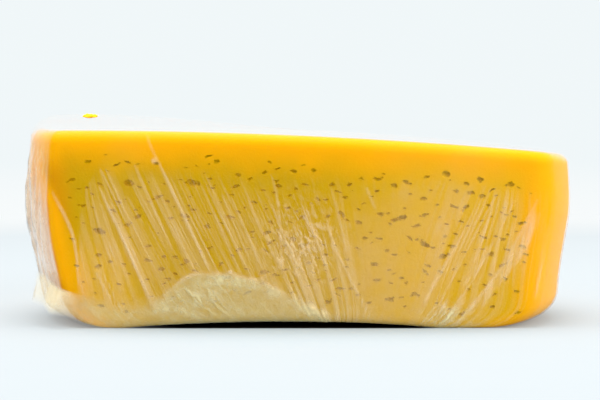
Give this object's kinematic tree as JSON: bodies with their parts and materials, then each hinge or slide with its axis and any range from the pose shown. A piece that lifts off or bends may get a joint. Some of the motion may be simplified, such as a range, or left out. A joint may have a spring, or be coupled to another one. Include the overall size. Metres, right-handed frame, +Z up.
{
  "type": "paipa cheese",
  "caption": "Large cut piece of a round yellow semi-hard cheese with small eyes in its cut face, wrapped in clear film that is bunched at one side.",
  "frame": {"origin": "on the resting face, on the axis of the whole wheel that the piece was cut from", "axes": "+X along the cut face to the right as seen from the front, +Y from the cut face to the back of the rind, +Z up"},
  "size_m": [0.167, 0.1281, 0.0624],
  "materials": {
    "cheese": "moist, slightly oily semi-hard cheese, deeper orange towards rind and top, no plastic in the real object",
    "film": "clear stretched food film, glossy, milky where it stands off the cheese",
    "film_bunched": "the same clear film in several crumpled layers, cream and translucent"
  },
  "bodies": {
    "root": {"cheese": "cheese", "film_wrap": "film", "film_pocket": "film_bunched"}
  },
  "joints": []
}
